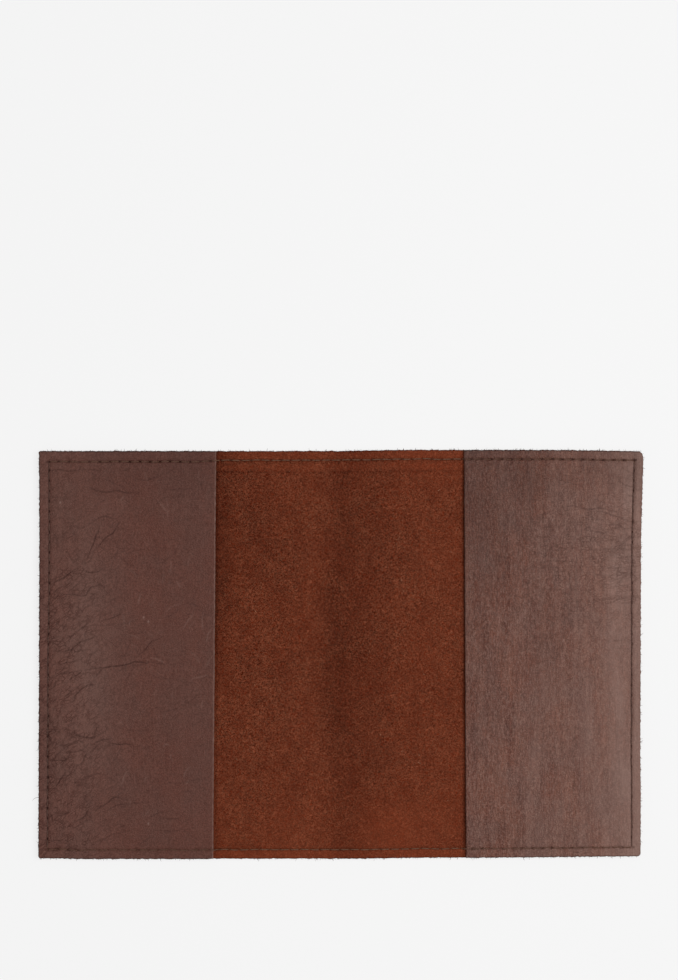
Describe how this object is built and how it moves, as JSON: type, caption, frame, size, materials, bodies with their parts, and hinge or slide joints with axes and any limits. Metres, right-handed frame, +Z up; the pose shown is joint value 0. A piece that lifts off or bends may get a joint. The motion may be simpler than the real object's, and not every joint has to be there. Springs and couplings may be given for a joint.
{
  "type": "passport holder",
  "caption": "Slim leather passport holder lying open: suede-lined one-piece cover with a soft spine, a stitched pocket flap on each half, and a lockstitched seam round the whole edge.",
  "frame": {"origin": "on the table plane, under the middle of the spine, with the holder open and flat and its outer grain face down", "axes": "+X across the open holder, from the front half to the back half; +Y up the holder's height; +Z up, out of the suede inner face"},
  "size_m": [0.2, 0.135, 0.0031],
  "materials": {
    "cover_leather": "reddish-brown suede inside, smooth dark brown grain outside, raw-cut edges",
    "flap_leather": "smooth dark brown leather with creases and a soft sheen, raw-cut edges",
    "thread": "dark brown twisted polyester sewing thread, matte"
  },
  "bodies": {
    "back_cover": {"back_cover_panel": "cover_leather", "back_pocket_sewn_margin": "flap_leather", "back_needle_thread": "thread", "back_bobbin_thread": "thread"},
    "spine": {"spine_strip": "cover_leather", "spine_top_needle_thread": "thread", "spine_top_bobbin_thread": "thread", "spine_bottom_needle_thread": "thread", "spine_bottom_bobbin_thread": "thread"},
    "front_cover": {"front_cover_panel": "cover_leather", "front_pocket_sewn_margin": "flap_leather", "front_needle_thread": "thread", "front_bobbin_thread": "thread"},
    "back_pocket": {"back_pocket_flap": "flap_leather"},
    "front_pocket": {"front_pocket_flap": "flap_leather"}
  },
  "joints": [
    {"name": "spine_fold_back", "type": "hinge", "parent": "back_cover", "child": "spine", "pos_m": [0.00502, 0, 0.0013], "axis": [0, 1, 0], "range_deg": [0, 90]},
    {"name": "spine_fold_front", "type": "hinge", "parent": "spine", "child": "front_cover", "pos_m": [-0.00502, 0, 0.0013], "axis": [0, 1, 0], "range_deg": [0, 90]},
    {"name": "back_pocket_open", "type": "hinge", "parent": "back_cover", "child": "back_pocket", "pos_m": [0.0954, 0, 0.00255], "axis": [0, 1, 0], "range_deg": [0, 3]},
    {"name": "front_pocket_open", "type": "hinge", "parent": "front_cover", "child": "front_pocket", "pos_m": [-0.0954, 0, 0.00255], "axis": [0, -1, 0], "range_deg": [0, 3]}
  ],
  "couplings": [
    {"joint": "spine_fold_front", "follows": "spine_fold_back", "ratio": 1}
  ]
}
